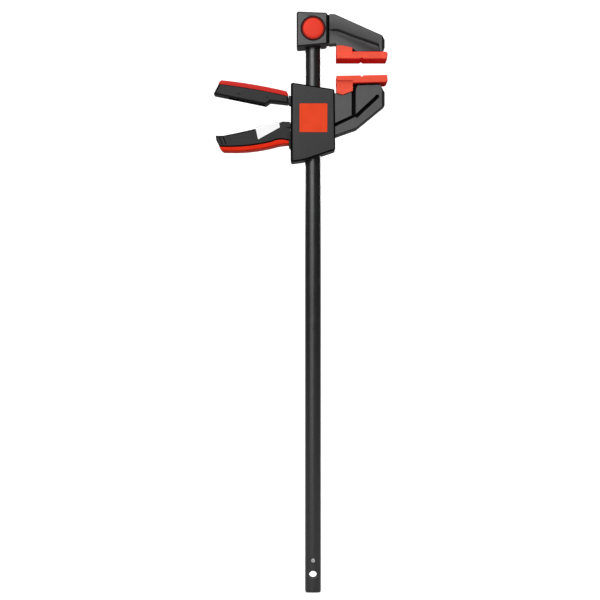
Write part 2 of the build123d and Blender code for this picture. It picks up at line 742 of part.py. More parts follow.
# soft strip on top of the sheath
with BuildPart() as lever_insert:
    with BuildSketch(slide_plane):
        with BuildLine():
            ThreePointArc(*crest_arc)
            Polyline(crest_arc[2], (sheath_right, -24.4), sheath_end, strip_arc[2])
            ThreePointArc(*strip_arc)
            Polyline(strip_arc[0], (-128.8, -8.2), crest_arc[0])
        make_face()
    extrude(amount=insert_half, both=True)
    top_edges = (
        lever_insert.edges()
        .filter_by(lambda edge: abs(abs(edge.center().Y) - insert_half) < 0.01)
        .filter_by(lambda edge: edge.length > 50)
        .sort_by(Axis.Z)[-2:]
    )
    fillet(top_edges, 3.2)
save(lever_insert.part, "lever_insert")

# ---- drive plates and springs --------------------------------------------------------------

plate_top = slide_height + nose_place[1] - nose_diameter / 2 - nose_gap
drive_plate_depth = 2 * (fork_inner - drive_plate_play)
for number in range(1, drive_plate_count + 1):
    with BuildPart() as drive_plate:
        with BuildSketch(Plane.XY.offset(plate_top - number * drive_plate_thick)):
            with Locations(((drive_plate_left + drive_plate_right) / 2, 0)):
                RectangleRounded(drive_plate_right - drive_plate_left, drive_plate_depth, 1.5)
            Rectangle(rail_width + 2 * slide_gap, rail_depth + 2 * slide_gap, mode=Mode.SUBTRACT)
        extrude(amount=drive_plate_thick)
    save(drive_plate.part, f"drive_plate_{number}")

plates_bottom = plate_top - drive_plate_count * drive_plate_thick
spring_floor = slide_height + bulkhead_top
for name, side in (("drive_spring_left", -1), ("drive_spring_right", 1)):
    drive_spring = coil(
        (side * drive_spring_at, 0, spring_floor), plates_bottom - spring_floor,
        drive_spring_diameter, drive_spring_wire, 6,
    )
    save(drive_spring, name)

# ---- brake plate, release tab and spring -------------------------------------------------------

tilted = Plane(
    origin=(brake_anchor[0], 0, slide_height + brake_anchor[1]),
    x_dir=(cos(radians(brake_tilt)), 0, -sin(radians(brake_tilt))),
    z_dir=(sin(radians(brake_tilt)), 0, cos(radians(brake_tilt))),
)
brake_plate_depth = 2 * (tenon_half - 0.5)
brake_plate_left = tab_left + tab_wall - brake_anchor[0]
window_centre = -brake_anchor[0] / cos(radians(brake_tilt))
with BuildPart() as brake_plate:
    with BuildSketch(tilted.offset(-brake_plate_thick / 2)):
        with Locations((brake_plate_left / 2, 0)):
            Rectangle(-brake_plate_left, brake_plate_depth)
        with Locations((window_centre, 0)):
            Rectangle(brake_window_width, rail_depth + 2 * slide_gap, mode=Mode.SUBTRACT)
    extrude(amount=brake_plate_thick)
    # rounded end that the plate tilts on
    plate_half = brake_plate_depth / 2
    add(rod(slide_plane, brake_anchor, brake_plate_thick, -plate_half, plate_half))
save(brake_plate.part, "brake_plate")

tab_half = brake_plate_depth / 2 + snug + tab_side
with BuildPart() as release_tab:
    with BuildSketch(slide_plane):
        with Locations(((tab_left + tab_right) / 2, (tab_top + tab_bottom) / 2)):
            Rectangle(tab_right - tab_left, tab_top - tab_bottom)
    extrude(amount=tab_half, both=True)
    fillet(release_tab.edges().filter_by(Axis.Y).group_by(Axis.X)[0].sort_by(Axis.Z)[-1], tab_round)
    # ribs for the thumb across the top
    for rib in range(tab_ribs):
        with BuildSketch(slide_plane):
            with Locations((tab_right - 1.6 - 1.8 * rib, tab_top)):
                Rectangle(0.8, 0.8)
        extrude(amount=tab_half, both=True, mode=Mode.SUBTRACT)
    # slot that the brake plate's end is pushed into
    with BuildSketch(tilted.offset(-brake_plate_thick / 2 - snug)):
        with Locations(((brake_plate_left - snug) / 2, 0)):
            Rectangle(snug - brake_plate_left, brake_plate_depth + 2 * snug)
    extrude(amount=brake_plate_thick + 2 * snug, mode=Mode.SUBTRACT)
save(release_tab.part, "release_tab")

spring_reach = brake_anchor[0] - brake_spring_at
plate_under = brake_anchor[1] + spring_reach * tan(radians(brake_tilt)) - brake_plate_thick / 2
brake_spring_length = plate_under - tenon_top - 0.55
brake_spring = coil(
    (brake_spring_at, 0, slide_height + tenon_top), brake_spring_length,
    brake_spring_diameter, brake_spring_wire, 4,
)
save(brake_spring, "brake_spring")

# ---- fixed handle -------------------------------------------------------------------------

# the line between the handle and its soft grip, from the root to the tip
root_arc = [(grip_right, -87.6), (-43.6, -85.8), (-57.0, -88.9)]
palm_arc = [(-57.0, -88.9), (-90.5, -94.7), (-128.6, -95.4)]
top_arc = [(-123.5, -81.1), (-84.7, -72.9), (-45.9, -62.9)]
handle_nose = [(-132.6, -87.4), (-133.4, -81.0)]
grip_tip_arc = [palm_arc[2], (-125.8, -100.4), (-119.0, -102.2)]
grip_palm_arc = [(-119.0, -102.2), (-86.0, -101.3), (-54.0, -95.6)]
grip_root_arc = [(-54.0, -95.6), (-44.0, -93.4), (grip_right, -92.4)]
heel_points = [(grip_right, -84.0), (root_right, -84.0), (root_right, -98.4), (grip_right, -95.4)]

with BuildPart() as fixed_handle:
    with BuildSketch(slide_plane):
        with BuildLine():
            ThreePointArc(*top_arc)
            Line(top_arc[2], (root_right, top_arc[2][1]))
            Polyline((root_right, top_arc[2][1]), (root_right, root_arc[0][1]), root_arc[0])
            ThreePointArc(*root_arc)
            ThreePointArc(*palm_arc)
            Polyline(palm_arc[2], *handle_nose, top_arc[0])
        make_face()
    extrude(amount=grip_half, both=True)
    handle_rims = (
        fixed_handle.faces().filter_by(Axis.Y).edges()
        .filter_by(lambda edge: edge.center().X < -50 and edge.center().Z > slide_height - 85)
    )
    chamfer(handle_rims, handle_bevel)
    # a shadow line above the soft grip
    grip_rims = (
        fixed_handle.faces().filter_by(Axis.Y).edges()
        .filter_by(lambda edge: edge.length > 20 and edge.center().Z < slide_height - 85)
    )
    chamfer(grip_rims, grip_line)
    # two grooves near the tip, on both sides
    for foot, top in (((-124.7, -93.5), (-129.5, -82.6)), ((-119.9, -93.0), (-124.3, -81.6))):
        ridge = [foot, top, (top[0] + ridge_wide, top[1]), (foot[0] + ridge_wide, foot[1])]
        for side in (-1, 1):
            ridge_plane = slide_plane.offset(side * (grip_half - ridge_deep))
            extrude(outline(ridge_plane, ridge), amount=side * ridge_deep, mode=Mode.SUBTRACT)
    # tenon into the housing, narrower than the handle
    with BuildSketch(slide_plane):
        with Locations(((tenon_right + root_right) / 2, (tenon_top + tenon_bottom) / 2)):
            Rectangle(tenon_right - root_right, tenon_top - tenon_bottom)
    extrude(amount=tenon_half, both=True)
    # heel under the root that carries the soft grip
    extrude(outline(slide_plane, heel_points), amount=grip_half - 1.0, both=True)
    # slot for the release tab between the handle's cheeks
    with BuildSketch(slide_plane):
        with Locations((tab_left - tab_play, tenon_top - 1.4)):
            Rectangle(root_right - tab_left + tab_play, 30.0, align=(Align.MIN, Align.MIN))
    extrude(amount=tab_half + slide_gap, both=True, mode=Mode.SUBTRACT)
    # short slit in both cheeks
    with BuildSketch(slide_plane):
        with Locations((root_right, cheek_slit)):
            Rectangle(11.0, 1.2)
    extrude(amount=2 * grip_half, both=True, mode=Mode.SUBTRACT)
    add(rod(slide_plane, screw_places[4], screw_hole, -core_half, core_half), mode=Mode.SUBTRACT)
save(fixed_handle.part, "fixed_handle")

with BuildPart() as handle_grip:
    with BuildSketch(slide_plane):
        with BuildLine():
            ThreePointArc(*root_arc)
            ThreePointArc(*palm_arc)
            ThreePointArc(*grip_tip_arc)
            ThreePointArc(*grip_palm_arc)
            ThreePointArc(*grip_root_arc)
            Line(grip_root_arc[2], root_arc[0])
        make_face()
    extrude(amount=grip_half + soft_grip_proud, both=True)
save(handle_grip.part, "handle_grip")
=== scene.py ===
"""Dresses the quick release bar clamp: materials for every piece, softened edges on the
moulded parts, the small fasteners and the label, and a plain studio around it."""

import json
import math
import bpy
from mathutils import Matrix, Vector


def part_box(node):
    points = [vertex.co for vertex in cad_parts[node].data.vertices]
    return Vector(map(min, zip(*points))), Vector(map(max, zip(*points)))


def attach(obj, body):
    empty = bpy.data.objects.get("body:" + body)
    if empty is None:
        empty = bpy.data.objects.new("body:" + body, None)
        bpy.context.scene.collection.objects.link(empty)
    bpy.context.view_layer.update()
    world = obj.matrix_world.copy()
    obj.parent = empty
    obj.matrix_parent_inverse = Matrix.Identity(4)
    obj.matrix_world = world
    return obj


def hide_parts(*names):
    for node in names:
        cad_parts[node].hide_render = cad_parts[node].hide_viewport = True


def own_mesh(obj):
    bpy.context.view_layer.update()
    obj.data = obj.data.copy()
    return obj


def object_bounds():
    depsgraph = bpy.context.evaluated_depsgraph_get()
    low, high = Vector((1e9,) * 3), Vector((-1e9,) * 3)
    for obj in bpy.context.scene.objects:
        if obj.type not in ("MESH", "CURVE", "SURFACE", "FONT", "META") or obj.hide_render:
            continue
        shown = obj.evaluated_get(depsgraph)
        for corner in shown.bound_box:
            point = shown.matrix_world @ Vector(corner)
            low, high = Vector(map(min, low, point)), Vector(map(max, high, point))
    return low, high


bl_info = {
    "name": "Quick release bar clamp",
    "version": (1, 0, 0),
    "blender": (4, 5, 0),
    "location": "3D View > Sidebar > Clamp",
    "description": "Builds the clamp's visible pieces and its studio over the packed model",
    "category": "Add Mesh",
}

import bmesh
import bpy
from bpy.props import FloatProperty, FloatVectorProperty, PointerProperty
from mathutils import Matrix, Vector

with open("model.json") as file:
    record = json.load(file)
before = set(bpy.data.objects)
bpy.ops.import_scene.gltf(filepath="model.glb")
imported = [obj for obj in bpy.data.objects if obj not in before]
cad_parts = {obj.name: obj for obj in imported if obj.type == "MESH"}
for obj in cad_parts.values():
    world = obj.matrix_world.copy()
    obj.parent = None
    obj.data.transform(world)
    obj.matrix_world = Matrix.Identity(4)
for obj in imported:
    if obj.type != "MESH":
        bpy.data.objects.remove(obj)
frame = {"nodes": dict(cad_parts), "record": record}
cad_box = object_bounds()

MM = 0.001
FACE_HEIGHT = 706.4 * MM            # fixed clamping face
SLIDE_HEIGHT = 683.6 * MM           # sliding clamping face
BUTTON_HEIGHT = FACE_HEIGHT + 42.0 * MM
RAIL_HALF = 11.0 * MM               # half of the rail's width
RAIL_CROWN = 20.0 * MM              # radius that the bump gives the rail's faces
SHARP_ANGLE = math.radians(24)      # steeper edges stay sharp
ON_FACE = 0.02 * MM                 # corners this close to the outermost one lie on its face
LAMP_AIM = Vector((0, 0, 0.55))

# turned profiles as (radius, height) in millimetres
SCREW_PROFILE = (
    (0.0, -2.2), (3.5, -2.2), (3.55, -0.9), (3.2, -0.35), (2.6, -0.1), (1.5, 0.0), (1.25, -0.2), (0.9, -1.4),
    (0.0, -1.6),
)
# the button's rounded edge and dome, as (width in millimetres, share of the rise)
DOME_RINGS = ((1.1, 0.56), (1.6, 0.22), (2.6, 0.12), (2.6, 0.07), (2.6, 0.03))
# corners of the raised band along the upper arm, as (x, z over the clamping face) in millimetres
BAND_CORNERS = ((31.0, 40.6), (38.4, 38.7), (53.6, 32.6), (89.7, 19.8))
BAND_FOOT, BAND_TOP = 10.8, 14.0    # depths of the slope under the band, in millimetres
RIVET_PLACES = ((-101.8, -23.3), (-63.8, -28.1))


def linear(red, green, blue):
    """A colour in linear light from its 0 to 255 screen values."""
    return tuple(
        (level / 255 / 12.92) if level <= 10 else ((level / 255 + 0.055) / 1.055) ** 2.4
        for level in (red, green, blue)
    )


# ---- sizes and colours a user would change ------------------------------------------


def colour_property(name, description, red, green, blue):
    """A colour that a user can change, from its 0 to 255 screen values."""
    return FloatVectorProperty(
        name=name,
        description=description,
        subtype="COLOR",
        size=3,
        min=0.0,
        max=1.0,
        default=linear(red, green, blue),
    )


class ClampColours(bpy.types.PropertyGroup):
    """Colours of the clamp's finishes"""

    rail: colour_property("Rail", "Coating of the rail", 22, 22, 23)
    jaw: colour_property("Jaws", "Moulded jaws", 43, 43, 44)
    jaw_side: colour_property("Jaw sides", "Sides and bevels of the jaws", 42, 42, 43)
    housing: colour_property("Housing", "Covers of the sliding jaw", 22, 22, 23)
    housing_side: colour_property("Housing sides", "Sides of the covers", 24, 24, 25)
    handle: colour_property("Handle", "Hand lever and fixed handle", 25, 25, 26)
    handle_side: colour_property("Handle sides", "Sides and bevels of the lever and handle", 26, 26, 27)
    # near-black painted shade, standing in for the shadow in the grooves and the dark rims on the bevels
    painted_shade: colour_property("Grooves", "Grooves and the dark bevels", 4, 4, 4)
    # the pads' front faces, paler than their sides by a painted sheen
    pad: colour_property("Pads", "Pads on both jaws", 228, 84, 64)
    # the pads' sides and bevels in a deeper red, the shaded copy of the same elastomer
    pad_shaded_side: colour_property("Pad sides", "Sides and bevels of the pads", 226, 48, 44)
    button: colour_property("Button", "Lock button", 216, 54, 36)
    # the button's bevelled ring, darkened as painted shade
    button_ring_painted_shade: colour_property("Button ring", "Bevelled ring of the lock button", 128, 26, 20)
    strip: colour_property("Lever strip", "Soft strip on the hand lever", 188, 36, 30)
    grip: colour_property("Handle grip", "Soft grip of the handle", 218, 44, 22)
    badge: colour_property("Badge", "Inlay of the front cover", 218, 66, 32)
    label: colour_property("Label", "Paper label on the handle", 228, 228, 228)
    steel: colour_property("Steel", "Bright steel of pins and springs", 190, 190, 194)
    blackened: colour_property("Blackened steel", "Plates and lever core", 40, 40, 42)


class ClampSizes(bpy.types.PropertyGroup):
    """Sizes of the small forms"""

    edge: FloatProperty(
        name="Moulded edge",
        description="Rounding along the edges of the moulded parts",
        subtype="DISTANCE",
        default=0.9 * MM,
        min=0.1 * MM,
        max=1.5 * MM,
    )
    dome: FloatProperty(
        name="Button dome",
        description="Rise of the button's middle over its rim",
        subtype="DISTANCE",
        default=1.4 * MM,
        min=0.1 * MM,
        max=1.8 * MM,
    )
    rivet: FloatProperty(
        name="Rivet",
        description="Diameter of the rivet heads in the lever's sheath",
        subtype="DISTANCE",
        default=3.6 * MM,
        min=2.0 * MM,
        max=5.0 * MM,
    )
    label_thickness: FloatProperty(
        name="Label thickness",
        description="Thickness of the paper label",
        subtype="DISTANCE",
        default=0.16 * MM,
        min=0.05 * MM,
        max=0.5 * MM,
    )


class ClampStudio(bpy.types.PropertyGroup):
    """Light of the studio"""

    key: FloatProperty(
        name="Key light", description="Power of the key light", subtype="POWER", default=46.0, min=0.0
    )
    lower: FloatProperty(
        name="Lower light", description="Power of the strip light near the floor", subtype="POWER",
        default=4.5, min=0.0,
    )
    top: FloatProperty(
        name="Top light", description="Power of the light from above", subtype="POWER", default=22.0, min=0.0
    )
    back: FloatProperty(
        name="Back lights", description="Power of each light behind", subtype="POWER", default=26.0, min=0.0
    )
    around: FloatProperty(
        name="Surroundings", description="Light from all around", default=0.16, min=0.0, max=2.0
    )


# ---- materials -------------------------------------------------------------------------


def new_material(name):
    """A material with its node tree and its principled shader."""
    material = bpy.data.materials.new(name)
    material.use_nodes = True
    return material, material.node_tree, material.node_tree.nodes["Principled BSDF"]


def noise(tree, scale, detail=4.0, roughness=0.5, stretch=(1.0, 1.0, 1.0)):
    """Noise on object coordinates, with its lumps per metre as scale."""
    place = tree.nodes.new("ShaderNodeTexCoord")
    mapping = tree.nodes.new("ShaderNodeMapping")
    mapping.inputs["Scale"].default_value = stretch
    texture = tree.nodes.new("ShaderNodeTexNoise")
    texture.inputs["Scale"].default_value = scale
    texture.inputs["Detail"].default_value = detail
    texture.inputs["Roughness"].default_value = roughness
    tree.links.new(place.outputs["Object"], mapping.inputs["Vector"])
    tree.links.new(mapping.outputs["Vector"], texture.inputs["Vector"])
    return texture.outputs["Fac"]


def levels(tree, value, low, high, from_low=0.3, from_high=0.7):
    """The value spread from one range to another."""
    node = tree.nodes.new("ShaderNodeMapRange")
    node.inputs["From Min"].default_value = from_low
    node.inputs["From Max"].default_value = from_high
    node.inputs["To Min"].default_value = low
    node.inputs["To Max"].default_value = high
    tree.links.new(value, node.inputs["Value"])
    return node.outputs["Result"]


def combine(tree, operation, first, second):
    """Two values put through one sum."""
    node = tree.nodes.new("ShaderNodeMath")
    node.operation = operation
    tree.links.new(first, node.inputs[0])
    tree.links.new(second, node.inputs[1])
    return node.outputs["Value"]


def blend(tree, factor, first, second):
    """A colour between two colours or colour outputs."""
    node = tree.nodes.new("ShaderNodeMix")
    node.data_type = "RGBA"
    tree.links.new(factor, node.inputs["Factor"])
    for socket, colour in ((node.inputs["A"], first), (node.inputs["B"], second)):
        if isinstance(colour, (tuple, list)):
            socket.default_value = (*colour[:3], 1.0)
        else:
            tree.links.new(colour, socket)
    return node.outputs["Result"]


def bump(tree, shader, heights):
    """Bumps chained onto the shader's normal, each given as (height, depth in metres, strength)."""
    normal = None
    for height, depth, strength in heights:
        node = tree.nodes.new("ShaderNodeBump")
        node.inputs["Distance"].default_value = depth
        node.inputs["Strength"].default_value = strength
        tree.links.new(height, node.inputs["Height"])
        if normal is not None:
            tree.links.new(normal, node.inputs["Normal"])
        normal = node.outputs["Normal"]
    tree.links.new(normal, shader.inputs["Normal"])


def shade(colour, factor):
    """A colour made darker or lighter."""
    return tuple(min(1.0, channel * factor) for channel in colour)


def moulded_nylon(name, colour, rough, sheen):
    """Glass-filled nylon with a fine spark-eroded grain and faint scuffs."""
    material, tree, shader = new_material(name)
    grain = noise(tree, 1500.0, 2.0)
    cloud = noise(tree, 45.0, 5.0)
    scuff = noise(tree, 160.0, 6.0, 0.7, (1.0, 1.0, 4.0))
    tone = blend(tree, levels(tree, cloud, 0.0, 1.0), shade(colour, 0.93), shade(colour, 1.07))
    worn = blend(tree, levels(tree, scuff, 0.0, 0.5, 0.62, 0.8), tone, shade(colour, 1.5))
    tree.links.new(worn, shader.inputs["Base Color"])
    tree.links.new(levels(tree, grain, rough - 0.06, rough + 0.1), shader.inputs["Roughness"])
    shader.inputs["Specular IOR Level"].default_value = sheen
    bump(tree, shader, ((grain, 0.00006, 0.55), (cloud, 0.0004, 0.12)))
    return material


def rail_coating(name, colour):
    """Satin black coating with an orange-peel skin and light draw lines along the rail.

    The bump gives the rolled bar's faces a slight crown across their width.
    """
    material, tree, shader = new_material(name)
    place = tree.nodes.new("ShaderNodeTexCoord")
    parts = tree.nodes.new("ShaderNodeSeparateXYZ")
    tree.links.new(place.outputs["Object"], parts.inputs["Vector"])
    squared = combine(tree, "MULTIPLY", parts.outputs["X"], parts.outputs["X"])
    crown = levels(tree, squared, 0.0, -RAIL_HALF ** 2 / (2 * RAIL_CROWN), 0.0, RAIL_HALF ** 2)
    peel = noise(tree, 700.0, 2.0)
    lines = noise(tree, 420.0, 4.0, 0.6, (1.0, 1.0, 0.02))
    spots = noise(tree, 90.0, 6.0, 0.65)
    tone = blend(tree, levels(tree, lines, 0.0, 1.0), shade(colour, 0.85), shade(colour, 1.15))
    dusty = blend(tree, levels(tree, spots, 0.0, 0.35, 0.6, 0.8), tone, shade(colour, 1.9))
    tree.links.new(dusty, shader.inputs["Base Color"])
    tree.links.new(levels(tree, spots, 0.27, 0.36), shader.inputs["Roughness"])
    shader.inputs["Specular IOR Level"].default_value = 0.6
    bump(tree, shader, ((peel, 0.00005, 0.3), (lines, 0.00004, 0.25), (crown, 1.0, 1.0)))
    return material


def soft_plastic(name, colour, rough, sheen):
    """Coloured elastomer with a fine matt grain and slightly uneven colour."""
    material, tree, shader = new_material(name)
    grain = noise(tree, 1100.0, 3.0)
    cloud = noise(tree, 60.0, 4.0)
    tone = blend(tree, levels(tree, cloud, 0.0, 1.0), shade(colour, 0.92), shade(colour, 1.05))
    tree.links.new(tone, shader.inputs["Base Color"])
    tree.links.new(levels(tree, grain, rough - 0.05, rough + 0.1), shader.inputs["Roughness"])
    shader.inputs["Specular IOR Level"].default_value = sheen
    bump(tree, shader, ((grain, 0.00005, 0.4), (cloud, 0.0003, 0.1)))
    return material


def gloss_plastic(name, colour, rough=0.22, sheen=0.04):
    """Polished plastic with faint waviness from the mould and hairline scratches."""
    material, tree, shader = new_material(name)
    wave = noise(tree, 70.0, 2.0)
    hairs = noise(tree, 900.0, 3.0, 0.6, (0.05, 1.0, 1.0))
    tone = blend(tree, levels(tree, wave, 0.0, 1.0), shade(colour, 0.95), shade(colour, 1.04))
    tree.links.new(tone, shader.inputs["Base Color"])
    tree.links.new(levels(tree, hairs, rough - 0.04, rough + 0.08), shader.inputs["Roughness"])
    shader.inputs["Specular IOR Level"].default_value = sheen
    bump(tree, shader, ((wave, 0.0003, 0.08), (hairs, 0.00002, 0.15)))
    return material


def plain_steel(name, colour, rough=0.3):
    """Steel with brush marks along one direction and clouded polish."""
    material, tree, shader = new_material(name)
    marks = noise(tree, 2400.0, 4.0, 0.6, (0.04, 1.0, 1.0))
    cloud = noise(tree, 120.0, 5.0)
    tone = blend(tree, levels(tree, cloud, 0.0, 1.0), shade(colour, 0.85), shade(colour, 1.1))
    tree.links.new(tone, shader.inputs["Base Color"])
    shader.inputs["Metallic"].default_value = 1.0
    tree.links.new(levels(tree, marks, rough - 0.06, rough + 0.14), shader.inputs["Roughness"])
    bump(tree, shader, ((marks, 0.00002, 0.35),))
    return material


def label_paper(name, colour):
    """Coated paper with faint fibres and a slight cockle."""
    material, tree, shader = new_material(name)
    fibres = noise(tree, 1800.0, 4.0, 0.7)
    cockle = noise(tree, 90.0, 2.0)
    tone = blend(tree, levels(tree, fibres, 0.0, 1.0), shade(colour, 0.94), shade(colour, 1.0))
    tree.links.new(tone, shader.inputs["Base Color"])
    tree.links.new(levels(tree, cockle, 0.35, 0.5), shader.inputs["Roughness"])
    bump(tree, shader, ((cockle, 0.0004, 0.25), (fibres, 0.00003, 0.3)))
    return material


FINISHES = {
    "rail_black": lambda colours: rail_coating("rail coating", colours.rail),
    "jaw_grey": lambda colours: moulded_nylon("jaw nylon", colours.jaw, 0.34, 0.36),
    "jaw_side": lambda colours: moulded_nylon("jaw side nylon", colours.jaw_side, 0.6, 0.05),
    "housing_grey": lambda colours: moulded_nylon("housing nylon", colours.housing, 0.34, 0.2),
    "housing_side": lambda colours: moulded_nylon("housing side nylon", colours.housing_side, 0.6, 0.05),
    "handle_grey": lambda colours: moulded_nylon("handle nylon", colours.handle, 0.36, 0.135),
    "handle_side": lambda colours: moulded_nylon("handle side nylon", colours.handle_side, 0.6, 0.04),
    # painted shade: a near-black nylon laid where grooves and bevels fall into shadow
    "painted_shade_black": lambda colours: moulded_nylon("painted shade nylon", colours.painted_shade, 0.7, 0.05),
    # lit and shaded copies of one elastomer: the fronts paler by a painted sheen, the sides and bevels a deeper
    # red
    "pad_red": lambda colours: soft_plastic("pad elastomer painted sheen", colours.pad, 0.6, 0.0),
    "pad_shaded_side": lambda colours: soft_plastic("pad elastomer shaded side", colours.pad_shaded_side, 0.6, 0.0),
    "button_ring_painted_shade": lambda colours: gloss_plastic("button ring painted shade", colours.button_ring_painted_shade, 0.3, 0.1),
    "button_red": lambda colours: gloss_plastic("button gloss", colours.button),
    "strip_red": lambda colours: soft_plastic("lever strip elastomer", colours.strip, 0.42, 0.06),
    "grip_red": lambda colours: soft_plastic("handle grip elastomer", colours.grip, 0.5, 0.02),
    "badge_orange": lambda colours: gloss_plastic("badge enamel", colours.badge, 0.26, 0.02),
    "label": lambda colours: label_paper("label paper", colours.label),
    "bright_steel": lambda colours: plain_steel("bright steel", colours.steel),
    "dark_steel": lambda colours: plain_steel("blackened steel", colours.blackened, 0.42),
}
made = {}    # finishes made so far


def finish(slot):
    """The finish of a slot, made once."""
    if slot not in made:
        made[slot] = FINISHES[slot](bpy.context.scene.clamp_colours)
    return made[slot]


# ---- pieces ------------------------------------------------------------------------------


def body_of_node(node):
    """The body that holds a CAD node."""
    for body, members in frame["record"]["behaviour"]["bodies"].items():
        if node in members:
            return body
    raise RuntimeError(f"no body holds the node {node}")


def paint(slot, *nodes):
    """Gives CAD nodes that stay as they are their finish."""
    for node in nodes:
        mesh = frame["nodes"][node].data
        mesh.materials.clear()
        mesh.materials.append(finish(slot))


def merged(node):
    """A merged copy of a CAD node's mesh as a bmesh, its flat faces joined."""
    same_point, flat = 0.004 * MM, math.radians(0.4)
    shape = bmesh.new()
    shape.from_mesh(frame["nodes"][node].data)
    bmesh.ops.remove_doubles(shape, verts=shape.verts, dist=same_point)
    bmesh.ops.dissolve_limit(
        shape, angle_limit=flat, verts=shape.verts, edges=shape.edges, use_dissolve_boundaries=False
    )
    return shape


def piece(shape, name, slot, body, stands_for=(), edge=0.0, segments=2):
    """Turns a bmesh into a piece with its finish, riding on a body."""
    mesh = bpy.data.meshes.new(name)
    shape.to_mesh(mesh)
    shape.free()
    for face in mesh.polygons:
        face.use_smooth = True
    mesh.set_sharp_from_angle(angle=SHARP_ANGLE)
    mesh.materials.append(finish(slot))
    obj = bpy.data.objects.new(name, mesh)
    bpy.context.scene.collection.objects.link(obj)
    if edge:
        modifier = obj.modifiers.new("soft edges", "BEVEL")
        modifier.width = edge
        modifier.segments = segments
        modifier.limit_method = "ANGLE"
        modifier.angle_limit = SHARP_ANGLE
        modifier.harden_normals = True
        modifier.miter_outer = "MITER_ARC"
    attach(obj, body)
    if stands_for:
        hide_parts(*stands_for)
    return obj


def dress(node, slot, edge=0.0, segments=2):
    """A softened copy of a CAD node in its place."""
    return piece(merged(node), f"{node}_dressed", slot, body_of_node(node), (node,), edge, segments)


def shift_corners(shape, height, place, shift, depth=None):
    """Moves the corners at an (x, z) place above a height along x and z, all in millimetres.

    A place without z takes in every height, and a depth picks the corners that lie there.
    """
    near = 0.06 * MM
    found = [
        vert for vert in shape.verts
        if abs(vert.co.x - place[0] * MM) < near
        and (place[1] is None or abs(vert.co.z - height - place[1] * MM) < near)
        and (depth is None or abs(abs(vert.co.y) - depth * MM) < near)
    ]
    if not found:
        raise RuntimeError(f"no corner at {place}")
    bmesh.ops.translate(shape, verts=found, vec=(shift[0] * MM, 0, shift[1] * MM))


def bevel_end(shape, width, depth):
    """Bevels both sides of a part along the flat end at its left."""
    ends = [face for face in shape.faces if face.normal.x < -0.8]
    end = max(ends, key=lambda face: face.calc_area())
    place, normal = end.calc_center_median(), end.normal.copy()
    end_depth = 0.3 * MM
    bmesh.ops.bisect_plane(
        shape, geom=shape.verts[:] + shape.edges[:] + shape.faces[:], plane_co=place - normal * width,
        plane_no=normal,
    )
    for vert in shape.verts:
        if (vert.co - place).dot(normal) > -end_depth:
            vert.co.y -= math.copysign(min(depth, abs(vert.co.y)), vert.co.y)


def round_rim(shape, width, segments, beside):
    """Rounds the edges between a part's broad faces and those other faces that pass a test on their normal."""
    rim = []
    for edge in shape.edges:
        if len(edge.link_faces) == 2:
            normals = sorted((face.normal for face in edge.link_faces), key=lambda normal: abs(normal.y))
            if abs(normals[1].y) > 0.99 and abs(normals[0].y) < 0.1 and beside(normals[0]):
                rim.append(edge)
    if not rim:
        raise RuntimeError("no rim to round")
    bmesh.ops.bevel(
        shape, geom=rim, offset=width, offset_type="OFFSET", segments=segments, profile=0.5, affect="EDGES",
        clamp_overlap=False,
    )


def other_finish(obj, slot, chosen):
    """Gives the faces that pass a test, on their centre in millimetres and normal, another finish."""
    obj.data.materials.append(finish(slot))
    index = len(obj.data.materials) - 1
    for face in obj.data.polygons:
        if chosen(face.center / MM, face.normal):
            face.material_index = index


def in_groove(left, right, deepest, face_depth):
    """A test for the floors and walls of the grooves between two places."""
    def test(centre, normal):
        square = abs(normal.y) > 0.99 or abs(normal.y) < 0.01
        return square and left < centre.x < right and deepest < abs(centre.y) < face_depth
    return test


def on_bevel(centre, normal):
    """Whether a face is part of the bevel around a moulding's front or back."""
    return 0.3 < abs(normal.y) < 0.95


def on_side(centre, normal):
    """Whether a face looks sideways, up or down, or is part of a bevel."""
    return abs(normal.y) < 0.93


def lathe(profile, centre, axis):
    """A turned solid from (radius, height) points along an axis, closed at both ends."""
    steps, same_point = 24, 0.002 * MM
    shape = bmesh.new()
    points = [shape.verts.new((radius, 0, height)) for radius, height in profile]
    edges = [shape.edges.new(pair) for pair in zip(points, points[1:])]
    bmesh.ops.spin(
        shape, geom=points + edges, cent=(0, 0, 0), axis=(0, 0, 1), angle=math.tau, steps=steps, use_merge=True,
        use_duplicate=False,
    )
    bmesh.ops.remove_doubles(shape, verts=shape.verts, dist=same_point)
    bmesh.ops.recalc_face_normals(shape, faces=shape.faces)
    turn = Vector((0, 0, 1)).rotation_difference(Vector(axis)).to_matrix().to_4x4()
    bmesh.ops.transform(shape, matrix=Matrix.Translation(centre) @ turn, verts=shape.verts)
    return shape


def coil_spring(name, base, axis, length, diameter, wire, turns, body, node):
    """A round-wire compression spring in place of the plain one, its sizes in millimetres."""
    steps_a_turn = 16
    shape = bmesh.new()
    mean = (diameter - wire) / 2 * MM
    ring = bmesh.ops.create_circle(shape, segments=8, radius=wire / 2 * MM, cap_ends=True)
    bmesh.ops.rotate(
        shape, cent=(0, 0, 0), matrix=Matrix.Rotation(math.radians(90), 3, "X"), verts=ring["verts"]
    )
    bmesh.ops.translate(shape, vec=(mean, 0, wire / 2 * MM), verts=ring["verts"])
    steps = turns * steps_a_turn
    bmesh.ops.spin(
        shape, geom=shape.verts[:] + shape.edges[:] + shape.faces[:], cent=(0, 0, 0), axis=(0, 0, 1),
        dvec=(0, 0, (length - wire) * MM / steps), angle=math.tau * turns, steps=steps, use_merge=False,
        use_duplicate=False,
    )
    bmesh.ops.recalc_face_normals(shape, faces=shape.faces)
    turn = Vector((0, 0, 1)).rotation_difference(Vector(axis)).to_matrix().to_4x4()
    bmesh.ops.transform(shape, matrix=Matrix.Translation(base) @ turn, verts=shape.verts)
    return piece(shape, name, "bright_steel", body, (node,))


